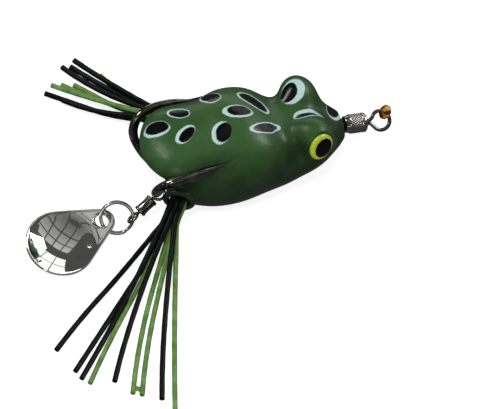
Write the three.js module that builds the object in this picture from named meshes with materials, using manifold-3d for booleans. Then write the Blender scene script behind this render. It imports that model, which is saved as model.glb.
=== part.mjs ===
// A hollow-body frog lure: soft shell, double hook, nose swivel, tail swivel with a spinner blade,
// and two bundles of rubber strands. Millimetres. +X is the nose, +Y the frog's left, +Z up.
// The origin is the middle of the flat belly, which is the face that the lure rests on.
import * as THREE from "three";
import { mergeVertices } from "three/addons/utils/BufferGeometryUtils.js";
import Module from "manifold-3d";

const wasm = await Module();
wasm.setup();

// ---- driving dimensions -------------------------------------------------------------------
const NOSE_X = 24.6; // the flat nose face
const WALL = 1.8; // soft shell wall
const BLEND = 0.62; // how sharply the body's blobs melt into each other, per mm
const SPINE = { rearX: -12, frontX: 15, rearZ: 9.6, frontZ: 8.2 };
const BLOBS = [
  { centre: [-5.3, 0, 6.75], radii: [14.1, 11.6, 8.7] }, // belly
  { centre: [-1.6, 0, 11.8], radii: [9.8, 12.8, 9.7] }, // back
  { centre: [-12.6, 0, 15.2], radii: [10.3, 10.4, 4.8] }, // rump
  { centre: [6.7, 0, 7.65], radii: [13.4, 11, 7.8] }, // cheeks
  { centre: [14.3, 0, 7.6], radii: [11.1, 7.1, 5.25] }, // snout
  { centre: [16.1, 6.35, 12.85], radii: [4.2, 4.8, 5.2] }, // left eye bump
  { centre: [16.1, -6.35, 12.85], radii: [4.2, 4.8, 5.2] }, // right eye bump
];
const UNDERCUT = { centre: [-29, 0, -1], radius: 14 }; // scooped out under the rump, where the hook leaves
const STUB = { radius: 3.1, bore: 2.5 }; // the leg stubs
const LEFT_STUB = { root: [-14, 2.6, 7.9], mouth: [-15.5, 9.5, 7.1] }; // pushed outwards by its strands
const RIGHT_STUB = { root: [-13.8, -2.6, 7.9], mouth: [-17, -8.9, 7.1] };

const HOOK_WIRE = 0.62; // radius
const NOSE_AXIS = { x: NOSE_X, z: 7.1, pitchDeg: -12 }; // the nose swivel's axis leaves the nose here
const NOSE_BARREL = { radius: 2.25, length: 5.4, start: 0.35 };
const TIE_RING = { radius: 2.2, wire: 0.45 };

const EYE = { radius: 3.15, pupil: 2.1, thick: 0.7 };
// The discs are glued by hand, so the left one sits lower than the right one.
const EYE_AT = { left: [16.8, 10.2, 11.3], right: [16.4, -10.3, 14.5] };
const EYE_OUT = { left: [0.3, 0.95, -0.1], right: [0.36, -0.9, 0.24] };

const TAIL_BARREL = { radius: 1.45, length: 4.2 };
const TAIL_EYE = { radius: 1.35, wire: 0.35 };
const RING = { radius: 3.65, radial: 0.75, axial: 0.46, pitch: 0.56 };
const BLADE = { length: 22.3, width: 16, depth: 2.45, thick: 0.5, hole: 1.6, lug: 3 };

const STRAND = 0.58; // radius
const FLOOR_GAP = 0.06; // keeps the facets of a lying strand off the floor

const FINISH = {
  shell: { color: 0x2f4f2c, roughness: 0.4, metalness: 0 },
  yellow: { color: 0xc3d335, roughness: 0.3, metalness: 0 },
  black: { color: 0x0b0b0b, roughness: 0.15, metalness: 0 },
  hook: { color: 0x2a2724, roughness: 0.25, metalness: 1 },
  lead: { color: 0x6a6c70, roughness: 0.5, metalness: 1 },
  gunmetal: { color: 0x3a3733, roughness: 0.3, metalness: 1 },
  steel: { color: 0xa9aaac, roughness: 0.15, metalness: 1 },
  chrome: { color: 0xd8d8d6, roughness: 0.05, metalness: 1 },
  amber: { color: 0xc07a08, roughness: 0.1, metalness: 0 },
  rubberBlack: { color: 0x101312, roughness: 0.5, metalness: 0 },
  rubberGreen: { color: 0x5f9645, roughness: 0.5, metalness: 0 },
};

const lure = new THREE.Group();
const vec = (p) => new THREE.Vector3(...p);
const rad = THREE.MathUtils.degToRad;

// ---- solids ---------------------------------------------------------------------------------
function welded(geometry) {
  const bare = geometry.clone();
  bare.deleteAttribute("normal");
  bare.deleteAttribute("uv");
  return mergeVertices(bare, 1e-4);
}

function solid(geometry) {
  const g = welded(geometry);
  const mesh = new wasm.Mesh({
    numProp: 3,
    vertProperties: new Float32Array(g.attributes.position.array),
    triVerts: new Uint32Array(g.index.array),
  });
  return new wasm.Manifold(mesh);
}

function geometryOf(made) {
  const mesh = made.getMesh();
  const geometry = new THREE.BufferGeometry();
  geometry.setAttribute("position", new THREE.BufferAttribute(mesh.vertProperties, 3));
  geometry.setIndex(new THREE.BufferAttribute(mesh.triVerts, 1));
  geometry.computeVertexNormals();
  return geometry;
}

function add(name, geometry, finish) {
  const mesh = new THREE.Mesh(geometry, new THREE.MeshStandardMaterial(FINISH[finish]));
  mesh.name = name;
  lure.add(mesh);
  return mesh;
}

// A round wire or tube along a smooth curve through the given points.
function sweep(points, radius, sides, steps) {
  const section = [];
  for (let i = 0; i < sides; i++) {
    const turn = (2 * Math.PI * i) / sides;
    section.push(new THREE.Vector2(radius * Math.cos(turn), radius * Math.sin(turn)));
  }
  const path = new THREE.CatmullRomCurve3(points.map(vec), false, "centripetal");
  return new THREE.ExtrudeGeometry(new THREE.Shape(section), { steps, extrudePath: path });
}

// A solid of revolution about +X, from [x, radius] pairs that start and end on the axis
// or close on themselves.
function turned(profile, sides) {
  const points = profile.map(([x, r]) => new THREE.Vector2(r, x));
  return new THREE.LatheGeometry(points, sides).rotateZ(-Math.PI / 2);
}

// Puts geometry made along +X at a place, with +X turned to a direction and +Z near "up".
function place(geometry, at, along, up) {
  const x = along.clone().normalize();
  const y = up.clone().cross(x).normalize();
  const z = x.clone().cross(y);
  const frame = new THREE.Matrix4().makeBasis(x, y, z).setPosition(at);
  return geometry.clone().applyMatrix4(frame);
}

// ---- body shell -----------------------------------------------------------------------------
// Distance-like value of an ellipsoid: negative inside.
function ellipsoid(p, { centre, radii }) {
  const q = p.clone().sub(vec(centre));
  const k0 = q.clone().divide(vec(radii)).length();
  const k1 = q.clone().divide(vec(radii).multiply(vec(radii))).length();
  return k1 < 1e-9 ? -Math.min(...radii) : (k0 * (k0 - 1)) / k1;
}

function capsule(p, a, b, radius) {
  const along = b.clone().sub(a);
  const t = THREE.MathUtils.clamp(p.clone().sub(a).dot(along) / along.lengthSq(), 0, 1);
  return p.distanceTo(a.clone().addScaledVector(along, t)) - radius;
}

function bodyField(p) {
  let sum = 0;
  for (const blob of BLOBS) sum += Math.exp(-BLEND * ellipsoid(p, blob));
  for (const stub of [LEFT_STUB, RIGHT_STUB]) {
    sum += Math.exp(-2.2 * BLEND * capsule(p, vec(stub.root), vec(stub.mouth), STUB.radius));
  }
  const body = -Math.log(sum) / BLEND;
  const scoop = UNDERCUT.radius - p.distanceTo(vec(UNDERCUT.centre));
  return Math.log(Math.exp(2 * BLEND * body) + Math.exp(2 * BLEND * scoop)) / (2 * BLEND);
}

// A ray that leaves the spine: v runs 0..1 from the nose to the rump, u once round.
function spineRay(u, v) {
  const cap = 0.24;
  const turn = 2 * Math.PI * u;
  let tilt = Math.PI / 2;
  let along = 0;
  if (v < cap) tilt = (Math.PI / 2) * (v / cap);
  else if (v > 1 - cap) tilt = Math.PI - (Math.PI / 2) * ((1 - v) / cap);
  along = THREE.MathUtils.clamp((v - cap) / (1 - 2 * cap), 0, 1);
  const origin = new THREE.Vector3(
    THREE.MathUtils.lerp(SPINE.frontX, SPINE.rearX, along),
    0,
    THREE.MathUtils.lerp(SPINE.frontZ, SPINE.rearZ, along),
  );
  const direction = new THREE.Vector3(
    Math.cos(tilt),
    Math.sin(tilt) * Math.cos(turn),
    Math.sin(tilt) * Math.sin(turn),
  );
  return { origin, direction };
}

// The body's skin, moved inwards by inset, with the belly and the nose cut flat.
function skin(around, along, inset) {
  const geometry = new THREE.SphereGeometry(1, around, along);
  const uv = geometry.attributes.uv;
  const position = geometry.attributes.position;
  for (let i = 0; i < position.count; i++) {
    const v = 1 - uv.getY(i);
    const u = v < 1e-6 || v > 1 - 1e-6 ? 0 : uv.getX(i) % 1;
    const { origin, direction } = spineRay(u, v);
    let near = 0;
    let far = 40;
    for (let k = 0; k < 40; k++) {
      const middle = (near + far) / 2;
      if (bodyField(origin.clone().addScaledVector(direction, middle)) < -inset) near = middle;
      else far = middle;
    }
    let reach = near;
    if (direction.z < 0) reach = Math.min(reach, (origin.z - inset) / -direction.z);
    if (direction.x > 0) reach = Math.min(reach, (NOSE_X - inset - origin.x) / direction.x);
    position.setXYZ(i, ...origin.addScaledVector(direction, reach).toArray());
  }
  return geometry;
}

function outward(geometry) {
  const made = solid(geometry);
  if (made.volume() > 0) return made;
  const g = welded(geometry);
  const index = g.index.array;
  for (let i = 0; i < index.length; i += 3) [index[i + 1], index[i + 2]] = [index[i + 2], index[i + 1]];
  return solid(g);
}

// ---- double hook ----------------------------------------------------------------------------
// One wire: right point, right bend, right shank, front eye, then the same on the left.
const HOOK_RIGHT = [
  [-8.2, -10.1, 16.7],
  [-12.5, -10.7, 16.7],
  [-17.3, -10.9, 16.4],
  [-20.7, -10.1, 15.1],
  [-22.1, -8.9, 12.4],
  [-21.6, -7.2, 8.8],
  [-20.4, -5.2, 6.4],
  [-18.6, -3.0, 5.0],
  [-16.2, -1.2, 4.4],
  [-12.5, -0.75, 4.3],
  [0, -0.75, 5.2],
  [12, -0.75, 6.4],
  [16.5, -0.85, 7.4],
  [18.4, -1.45, 7.9],
];
const HOOK_EYE_FRONT = [20.2, 0, 8.1];
const HOOK_POINT = [-5.1, -9.9, 17.4];

function hookPath() {
  const left = HOOK_RIGHT.map(([x, y, z]) => [x, -y, z]).reverse();
  return [...HOOK_RIGHT, HOOK_EYE_FRONT, ...left];
}

function hookTip(side, swell) {
  const base = vec(HOOK_RIGHT[0]).multiply(new THREE.Vector3(1, side, 1));
  const tip = vec(HOOK_POINT).multiply(new THREE.Vector3(1, side, 1));
  const along = tip.clone().sub(base);
  const length = along.length();
  const r = HOOK_WIRE + swell;
  const end = length + swell;
  const cone = turned([[-0.3, 0], [-0.3, r * 0.985], [0.6, r * 0.93], [end, 0.06], [end, 0]], 8);
  return place(cone, base, along, new THREE.Vector3(0, 0, 1));
}

function hookSolid(swell, steps) {
  let made = solid(sweep(hookPath(), HOOK_WIRE + swell, 8, steps));
  for (const side of [1, -1]) made = made.add(outward(hookTip(side, swell)));
  return made;
}

// ---- eyes of bent wire with a pin, for the swivels --------------------------------------------
// The ring's centre is at distance "out" along +X from the barrel's end, its plane holds X and Z.
function swivelEye(ring, out, pinIn, headRadius) {
  const torus = new THREE.TorusGeometry(ring.radius, ring.wire, 7, 16);
  torus.rotateX(Math.PI / 2).translate(out, 0, 0);
  const pinEnd = out - ring.radius;
  const pin = turned(
    [
      [-pinIn - 0.7, 0],
      [-pinIn - 0.7, headRadius],
      [-pinIn, headRadius],
      [-pinIn, ring.wire],
      [pinEnd - 0.25, ring.wire],
      [pinEnd, ring.wire * 1.5],
      [pinEnd, 0],
    ],
    12,
  );
  return geometryOf(outward(torus).add(outward(pin)));
}

// A swivel's barrel: a turned sleeve with a small hole at each end, centred on the origin.
function swivelBarrel(radius, length, hole, wall) {
  const half = length / 2;
  const inner = radius - wall;
  const chamfer = 0.35;
  return turned(
    [
      [-half, hole],
      [-half, radius - chamfer],
      [-half + chamfer, radius],
      [half - chamfer, radius],
      [half, radius - chamfer],
      [half, hole],
      [half - wall, hole],
      [half - wall, inner],
      [-half + wall, inner],
      [-half + wall, hole],
      [-half, hole],
    ],
    16,
  );
}

// ---- shell, with its mouths -----------------------------------------------------------------
function stubAxis(side) {
  const stub = side > 0 ? LEFT_STUB : RIGHT_STUB;
  const mouth = vec(stub.mouth);
  return { mouth, along: mouth.clone().sub(vec(stub.root)).normalize() };
}

function rod(from, to, radius, sides) {
  const along = to.clone().sub(from);
  const bar = new THREE.CylinderGeometry(radius, radius, along.length(), sides).rotateZ(-Math.PI / 2);
  const upright = Math.abs(along.z) > 0.9 * along.length();
  const up = new THREE.Vector3(upright ? 1 : 0, 0, upright ? 0 : 1);
  return outward(place(bar, from.clone().add(to).multiplyScalar(0.5), along, up));
}

const noseAt = new THREE.Vector3(NOSE_AXIS.x, 0, NOSE_AXIS.z);
const noseAlong = new THREE.Vector3(Math.cos(rad(NOSE_AXIS.pitchDeg)), 0, Math.sin(rad(NOSE_AXIS.pitchDeg)));

function shell() {
  let made = outward(skin(30, 32, 0)).subtract(outward(skin(16, 18, WALL)));
  const dish = new THREE.SphereGeometry(13, 24, 40).translate(NOSE_X + 12.3, 0, NOSE_AXIS.z - 0.6);
  made = made.subtract(outward(dish));
  const borePast = noseAt.clone().addScaledVector(noseAlong, 2);
  made = made.subtract(rod(new THREE.Vector3(18, 0, NOSE_AXIS.z), borePast, 1.1, 12));
  for (const side of [1, -1]) {
    const { mouth, along } = stubAxis(side);
    const out = mouth.clone().addScaledVector(along, 5);
    made = made.subtract(rod(mouth.clone().addScaledVector(along, 0.9), out, 3.9, 16));
    made = made.subtract(rod(mouth.clone().addScaledVector(along, -5.4), out, STUB.bore, 16));
    made = made.subtract(eyePiece(side, 0.25, EYE.radius + 0.25, 5));
  }
  const slot = new THREE.BoxGeometry(9, 4.2, 2.6).translate(-19.5, 0, 4.1);
  made = made.subtract(solid(slot)).subtract(hookSolid(0.3, 44));
  return geometryOf(made);
}

// ---- eyes: a yellow iris disc and a black pupil bead on each bump ------------------------------
function eyeFrame(side) {
  const word = side > 0 ? "left" : "right";
  return { at: vec(EYE_AT[word]), out: vec(EYE_OUT[word]).normalize() };
}

function eyePiece(side, back, radius, front) {
  const { at, out } = eyeFrame(side);
  const under = at.clone().addScaledVector(out, -EYE.thick - back);
  return rod(under, at.clone().addScaledVector(out, front), radius, 24);
}

function iris(side) {
  const { at, out } = eyeFrame(side);
  const dome = EYE.thick * 0.4;
  const seat = EYE.pupil + 0.1;
  const profile = [
    [-EYE.thick, 0], [-EYE.thick, EYE.radius], [0, EYE.radius],
    [dome, seat], [dome - 0.35, seat], [dome - 0.35, 0],
  ];
  return place(geometryOf(outward(turned(profile, 24))), at, out, new THREE.Vector3(0, 0, 1));
}

function pupil(side) {
  const { at, out } = eyeFrame(side);
  const base = EYE.thick * 0.4 - 0.25;
  const profile = [
    [base, 0], [base, EYE.pupil], [base + 0.35, EYE.pupil],
    [base + 0.75, EYE.pupil * 0.6], [base + 0.9, 0],
  ];
  return place(geometryOf(outward(turned(profile, 24))), at, out, new THREE.Vector3(0, 0, 1));
}

add("body_shell", shell(), "shell");
for (const [side, name] of [[1, "left"], [-1, "right"]]) {
  add("eye_iris_" + name, iris(side), "yellow");
  add("eye_pupil_" + name, pupil(side), "black");
}

// ---- hook and the belly weight cast round its shank ---------------------------------------------
add("double_hook", geometryOf(hookSolid(0, 64)), "hook");

function bellyWeight() {
  const slug = new THREE.SphereGeometry(1, 16, 8).rotateX(Math.PI / 2);
  slug.scale(6.5, 3.6, 1.9).translate(-1, 0, 5.1);
  return geometryOf(outward(slug).subtract(hookSolid(0.12, 64)));
}
add("belly_weight", bellyWeight(), "lead");

// ---- nose swivel --------------------------------------------------------------------------------
const barrelReach = NOSE_BARREL.start + NOSE_BARREL.length / 2;
const noseBarrelMiddle = noseAt.clone().addScaledVector(noseAlong, barrelReach);
const UP = new THREE.Vector3(0, 0, 1);
const SIDE = new THREE.Vector3(0, 1, 0);

const noseBarrel = swivelBarrel(NOSE_BARREL.radius, NOSE_BARREL.length, 0.6, 0.7);
add("nose_swivel_barrel", place(noseBarrel, noseBarrelMiddle, noseAlong, UP), "gunmetal");

const tieOut = 3.7; // barrel end to ring centre
const tieStart = noseBarrelMiddle.clone().addScaledVector(noseAlong, NOSE_BARREL.length / 2);
const tieUp = new THREE.Vector3(0, 0.79, 0.59);
add("line_tie_eye", place(swivelEye(TIE_RING, tieOut, 0.85, 1.2), tieStart, noseAlong, tieUp), "gunmetal");

const rearEyeRing = { radius: 1.2, wire: 0.4 };
const rearEyeStart = noseBarrelMiddle.clone().addScaledVector(noseAlong, -NOSE_BARREL.length / 2);
const rearEye = swivelEye(rearEyeRing, 4.9, 0.85, 1.2);
add("nose_swivel_rear_eye", place(rearEye, rearEyeStart, noseAlong.clone().negate(), UP), "gunmetal");

// An amber glass bead, cut with flat facets, threaded on the line tie.
const tieCentre = tieStart.clone().addScaledVector(noseAlong, tieOut);
const tieNormal = tieUp.clone().cross(noseAlong).normalize();
const tieHigh = noseAlong.clone().cross(tieNormal).normalize();
const beadAngle = rad(52);
const beadAt = tieCentre
  .clone()
  .addScaledVector(noseAlong, TIE_RING.radius * Math.cos(beadAngle))
  .addScaledVector(tieHigh, TIE_RING.radius * Math.sin(beadAngle));
const beadAlong = noseAlong
  .clone()
  .multiplyScalar(-Math.sin(beadAngle))
  .addScaledVector(tieHigh, Math.cos(beadAngle));
const beadProfile = [
  [-1.2, 0.86], [-1.2, 1.15], [-0.45, 1.7], [0.45, 1.7],
  [1.2, 1.15], [1.2, 0.86], [-1.2, 0.86],
];
add("tie_bead", place(turned(beadProfile, 8), beadAt, beadAlong, tieNormal), "amber");

// ---- tail swivel, split ring and spinner blade ----------------------------------------------------
const hookThread = new THREE.Vector3(-20.9, -6.05, 7.3); // where the tail swivel hangs on the right bend
const ringCentre = new THREE.Vector3(-31.06, -6.87, 3.6);
const ringRight = new THREE.Vector3(0.95, -0.312, 0);
const ringUp = new THREE.Vector3(0.17, 0.53, 0.83);
const ringEntry = ringCentre.clone().addScaledVector(ringRight, RING.radius);
const tailAlong = ringEntry.clone().sub(hookThread).normalize();
const tailMiddle = hookThread.clone().add(ringEntry).multiplyScalar(0.5);
const tailOut = hookThread.distanceTo(ringEntry) / 2 - TAIL_BARREL.length / 2;
const hookTangent = new THREE.Vector3(-0.35, -0.7, 0.62);

const tailBarrel = swivelBarrel(TAIL_BARREL.radius, TAIL_BARREL.length, 0.5, 0.45);
add("tail_swivel_barrel", place(tailBarrel, tailMiddle, tailAlong, UP), "steel");
function tailEye(name, sign, wireThrough) {
  const start = tailMiddle.clone().addScaledVector(tailAlong, (sign * TAIL_BARREL.length) / 2);
  const along = tailAlong.clone().multiplyScalar(sign);
  const up = wireThrough.clone().cross(along);
  add(name, place(swivelEye(TAIL_EYE, tailOut, 0.6, 0.85), start, along, up), "steel");
}
tailEye("tail_swivel_front_eye", -1, hookTangent);
tailEye("tail_swivel_rear_eye", 1, ringUp);

// Nearly two turns of flat wire: two flat coils, with a short step from the lower to the upper.
function splitRing() {
  const turns = 1.84;
  const step = { from: 0.86, to: 0.98 }; // in turns
  const count = 46;
  const [a, b] = [RING.axial / 2, RING.radial / 2];
  const corners = [[-b, -a], [b, -a], [b, a], [-b, a]];
  const positions = [];
  const index = [];
  for (let i = 0; i <= count; i++) {
    const turn = (turns * i) / count;
    const rise = THREE.MathUtils.clamp((turn - step.from) / (step.to - step.from), 0, 1) - 0.5;
    for (const [out, up] of corners) {
      const r = RING.radius + out;
      const angle = 2 * Math.PI * turn;
      positions.push(r * Math.cos(angle), r * Math.sin(angle), RING.pitch * rise + up);
    }
  }
  for (let i = 0; i < count; i++) {
    for (let k = 0; k < 4; k++) {
      const [p, q] = [4 * i + k, 4 * i + ((k + 1) % 4)];
      index.push(p, q, q + 4, p, q + 4, p + 4);
    }
  }
  const last = 4 * count;
  index.push(0, 2, 1, 0, 3, 2, last, last + 1, last + 2, last, last + 2, last + 3);
  const coil = new THREE.BufferGeometry();
  coil.setAttribute("position", new THREE.Float32BufferAttribute(positions, 3));
  coil.setIndex(index);
  const normal = ringRight.clone().cross(ringUp).normalize();
  const frame = new THREE.Matrix4().makeBasis(ringRight, ringUp.clone().normalize(), normal);
  frame.setPosition(ringCentre);
  return geometryOf(outward(coil.applyMatrix4(frame)));
}
add("split_ring", splitRing(), "steel");

// The blade: an egg-shaped outline round the two circles of its lug and its bowl, dished like a spoon.
const bladeHole = new THREE.Vector3(-34.4, -6.2, 3.05);
const bladeYaw = rad(197.5);
const bladePitch = rad(2);
const bladeUp = new THREE.Vector3(0, -0.26, 0.966); // its near side lies lower

function bladeOutline(angle) {
  // distance from the bowl's centre to the edge, angle from the blade's axis towards the lug
  const bowl = BLADE.width / 2;
  const reach = BLADE.length - bowl - BLADE.lug; // bowl centre to hole
  const c = Math.cos(angle);
  const tangent = Math.acos((bowl - BLADE.lug) / reach);
  const a = Math.abs(angle);
  if (a > tangent) return bowl;
  const straight = bowl / Math.cos(a - tangent);
  const lugEdge = reach * c + Math.sqrt(Math.max(0, BLADE.lug ** 2 - (reach * Math.sin(a)) ** 2));
  const onLug = reach * Math.sin(a) < BLADE.lug && lugEdge < straight;
  return onLug ? lugEdge : straight;
}

function spoon() {
  const bowl = BLADE.width / 2;
  const reach = BLADE.length - bowl - BLADE.lug;
  const rings = [0.25, 0.5, 0.72, 0.88, 1];
  const top = rings.map((s) => [0, s]);
  const under = [...top].reverse().map(([z, s]) => [z - BLADE.thick, s]);
  const closed = [[0, 0], ...top, ...under, [-BLADE.thick, 0]];
  const disc = new THREE.LatheGeometry(closed.map(([z, s]) => new THREE.Vector2(s, z)), 32);
  const position = disc.attributes.position;
  for (let i = 0; i < position.count; i++) {
    const [x, y, z] = [position.getX(i), position.getY(i), position.getZ(i)];
    const s = Math.hypot(x, z);
    const angle = Math.atan2(z, x);
    const edge = bladeOutline(angle) * s;
    const scale = s > 1e-9 ? edge / s : 0;
    const dish = -BLADE.depth * (1 - Math.min(1, edge / bowl) ** 2);
    position.setXYZ(i, x * scale - reach, z * scale, y + dish);
  }
  const hole = new THREE.CylinderGeometry(BLADE.hole, BLADE.hole, 12, 16).rotateX(Math.PI / 2);
  return outward(disc).subtract(outward(hole));
}

function blade() {
  const along = new THREE.Vector3(Math.cos(bladeYaw), Math.sin(bladeYaw), Math.sin(bladePitch)).negate();
  return place(geometryOf(spoon()), bladeHole, along, bladeUp);
}
add("spinner_blade", blade(), "chrome");

// ---- skirts: a plug in each leg stub holds nine rubber strands ---------------------------------------
// Each strand: where its tip lies on the floor [x, y], its colour, how far out it comes down to the
// floor, and how far its middle bows towards the rear. They are listed from the rearmost round.
const RIGHT_SKIRT = [
  { tip: [-54.7, -36.2], finish: "rubberBlack", lands: 22, bow: 1.1 },
  { tip: [-52.5, -43.2], finish: "rubberBlack", lands: 14, bow: 0 },
  { tip: [-51.8, -45.6], finish: "rubberBlack", lands: 34, bow: 0 },
  { tip: [-50.4, -47.4], finish: "rubberGreen", lands: 22, bow: 0.8 },
  { tip: [-45, -48.6], finish: "rubberBlack", lands: 34, bow: 1.3 },
  { tip: [-42.2, -53.1], finish: "rubberGreen", lands: 14, bow: 1.3 },
  { tip: [-40.4, -54.2], finish: "rubberGreen", lands: 22, bow: 1.2 },
  { tip: [-36.5, -56.6], finish: "rubberBlack", lands: 30, bow: 0.8 },
  { tip: [-34.7, -60.5], finish: "rubberGreen", lands: 14, bow: 0.3 },
];
const LEFT_SKIRT = [
  { tip: [-32, 31], finish: "rubberBlack", lands: 32, bow: 1 },
  { tip: [-35, 34.6], finish: "rubberBlack", lands: 12, bow: 0 },
  { tip: [-33, 35.9], finish: "rubberGreen", lands: 34, bow: 0 },
  { tip: [-30.7, 35.8], finish: "rubberGreen", lands: 20, bow: 0 },
  { tip: [-28, 34.9], finish: "rubberGreen", lands: 12, bow: 0 },
  { tip: [-29, 40.6], finish: "rubberBlack", lands: 28, bow: 0.5 },
  { tip: [-27.1, 40.2], finish: "rubberBlack", lands: 24, bow: -0.1 },
  { tip: [-25.8, 41.7], finish: "rubberBlack", lands: 26, bow: -0.3 },
  { tip: [-21.5, 35.7], finish: "rubberGreen", lands: 12, bow: 0 },
];
// Each strand's row, 1 on top, so that the black strands lie over the green ones.
const ROWS = { right: [0, -1, 1, 0, 1, -1, 0, 1, -1], left: [0, -1, 1, 0, -1, 1, 0, 1, -1] };
const PITCH = 1.24; // between strands where they leave the plug, three by three
const PLUG = { inner: 4.9, outer: 2.6 }; // distances behind the mouth
// Where the middle of each bundle goes before its strands fan out.
const RIGHT_BUNDLE = [[-18.9, -11.4, 6.6], [-20.3, -13.1, 5.8]];
const LEFT_BUNDLE = [
  [-15.7, 11.2, 6.8], [-15.4, 13, 6.4], [-14.8, 15, 5.8],
  [-14.8, 17.2, 5.2], [-15.9, 19.2, 4.6],
];

// A bundle's middle line, from inside the stub to where the strands part.
function bundleLine(side) {
  const { mouth, along } = stubAxis(side);
  const inside = [0.3 - PLUG.outer, -0.8, 0.6].map((out) => mouth.clone().addScaledVector(along, out));
  const beyond = (side > 0 ? LEFT_BUNDLE : RIGHT_BUNDLE).map(vec);
  return new THREE.CatmullRomCurve3([...inside, ...beyond], false, "centripetal");
}

function skirtRoute(side, index, { tip, lands, bow }) {
  const line = bundleLine(side);
  const column = Math.floor(index / 3) - 1;
  const row = ROWS[side > 0 ? "left" : "right"][index];
  const points = [];
  const samples = side > 0 ? 9 : 7;
  for (let i = 0; i < samples; i++) {
    const at = i / (samples - 1);
    const along = line.getTangentAt(at);
    const across = UP.clone().cross(along).normalize().multiplyScalar(-side);
    const up = along.clone().cross(across).normalize();
    if (up.z < 0) up.negate();
    points.push(line.getPointAt(at).addScaledVector(across, column * PITCH).addScaledVector(up, row * PITCH));
  }
  const leave = points[points.length - 1];
  const end = new THREE.Vector3(...tip, STRAND + FLOOR_GAP);
  const reach = Math.hypot(end.x - leave.x, end.y - leave.y);
  const aside = new THREE.Vector3(end.y - leave.y, leave.x - end.x, 0).multiplyScalar((-side * bow) / reach);
  for (const out of [0.1, 0.2, 0.3, 0.4, 0.5, 0.6, 0.7, 0.85, 1]) {
    const fall = Math.max(0, 1 - (out * reach) / lands);
    const point = leave.clone().lerp(end, out).addScaledVector(aside, 4 * out * (1 - out));
    point.z = end.z + (leave.z - end.z) * fall ** 1.8;
    points.push(point);
  }
  return points;
}

for (const [side, word, skirt] of [[1, "left", LEFT_SKIRT], [-1, "right", RIGHT_SKIRT]]) {
  const { mouth, along } = stubAxis(side);
  const inner = mouth.clone().addScaledVector(along, -PLUG.inner);
  const outer = mouth.clone().addScaledVector(along, -PLUG.outer);
  add("skirt_plug_" + word, geometryOf(rod(inner, outer, STUB.bore - 0.15, 16)), "shell");
  skirt.forEach((strand, i) => {
    const points = skirtRoute(side, i, strand).map((p) => p.toArray());
    add("skirt_" + word + "_" + (i + 1), sweep(points, STRAND, 8, side > 0 ? 16 : 18), strand.finish);
  });
}

export default lure;
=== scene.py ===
"""A soft hollow-body frog lure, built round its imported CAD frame.

Shapes are in millimetres in the CAD's frame (+X nose, +Y the frog's left, +Z up, belly on z = 0),
and turn into metres where a mesh, a curve or a node is made from them.
"""

import math

import bpy
import numpy as np
from mathutils import Matrix, Vector


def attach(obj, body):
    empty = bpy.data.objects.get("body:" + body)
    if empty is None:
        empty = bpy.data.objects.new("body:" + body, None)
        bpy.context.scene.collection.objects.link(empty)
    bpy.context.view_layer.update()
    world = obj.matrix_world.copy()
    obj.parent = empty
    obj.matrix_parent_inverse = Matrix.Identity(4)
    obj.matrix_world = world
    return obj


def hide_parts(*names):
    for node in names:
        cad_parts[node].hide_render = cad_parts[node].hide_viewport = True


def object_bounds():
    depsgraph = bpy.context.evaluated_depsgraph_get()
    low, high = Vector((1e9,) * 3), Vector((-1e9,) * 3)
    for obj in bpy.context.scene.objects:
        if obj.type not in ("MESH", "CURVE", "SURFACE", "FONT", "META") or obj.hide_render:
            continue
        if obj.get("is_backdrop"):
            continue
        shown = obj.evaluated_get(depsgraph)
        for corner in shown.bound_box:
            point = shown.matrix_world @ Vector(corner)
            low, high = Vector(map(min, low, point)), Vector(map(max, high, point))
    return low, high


MM = 0.001
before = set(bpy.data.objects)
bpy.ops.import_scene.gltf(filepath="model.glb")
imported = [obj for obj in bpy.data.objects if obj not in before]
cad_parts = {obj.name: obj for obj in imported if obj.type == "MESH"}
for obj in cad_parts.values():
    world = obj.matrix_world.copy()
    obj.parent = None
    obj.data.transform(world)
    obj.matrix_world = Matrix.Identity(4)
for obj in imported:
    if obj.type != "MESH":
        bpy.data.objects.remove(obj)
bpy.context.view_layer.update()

# ---- the part's driving dimensions
NOSE_X = 24.6  # the flat cut at the nose
WALL = 1.8
BLEND = 0.62  # how sharply the blobs melt together
BLOBS = [  # centre, radii
    ((-5.3, 0, 6.75), (14.1, 11.6, 8.7)),  # belly
    ((-1.6, 0, 11.8), (9.8, 12.8, 9.7)),  # back
    ((-12.6, 0, 15.2), (10.3, 10.4, 4.8)),  # rump
    ((6.7, 0, 7.65), (13.4, 11, 7.8)),  # cheeks
    ((14.3, 0, 7.6), (11.1, 7.1, 5.25)),  # snout
    ((16.1, 6.35, 12.85), (4.2, 4.8, 5.2)),  # left eye bump
    ((16.1, -6.35, 12.85), (4.2, 4.8, 5.2)),  # right eye bump
]
UNDERCUT = ((-29, 0, -1), 14)  # centre and radius of the hollow under the rump
STUB_RADIUS, STUB_BORE = 3.1, 2.5
STUBS = {  # side: root, mouth
    1: ((-14, 2.6, 7.9), (-15.5, 9.5, 7.1)),
    -1: ((-13.8, -2.6, 7.9), (-17, -8.9, 7.1)),
}
EYE = {"radius": 3.15, "pupil": 2.1, "thick": 0.7}
EYE_AT = {1: (16.8, 10.2, 11.3), -1: (16.4, -10.3, 14.5)}  # side: centre, and where it looks
EYE_OUT = {1: (0.3, 0.95, -0.1), -1: (0.36, -0.9, 0.24)}
HOOK_WIRE = 0.62
HOOK_RIGHT = [  # the right half, from behind its point to the nose
    (-8.2, -10.1, 16.7), (-12.5, -10.7, 16.7), (-17.3, -10.9, 16.4), (-20.7, -10.1, 15.1),
    (-22.1, -8.9, 12.4), (-21.6, -7.2, 8.8), (-20.4, -5.2, 6.4), (-18.6, -3.0, 5.0),
    (-16.2, -1.2, 4.4), (-12.5, -0.75, 4.3), (0, -0.75, 5.2), (12, -0.75, 6.4),
    (16.5, -0.85, 7.4), (18.4, -1.45, 7.9),
]
HOOK_EYE_FRONT = (20.2, 0, 8.1)
HOOK_POINT = (-5.1, -9.9, 17.4)
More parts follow.
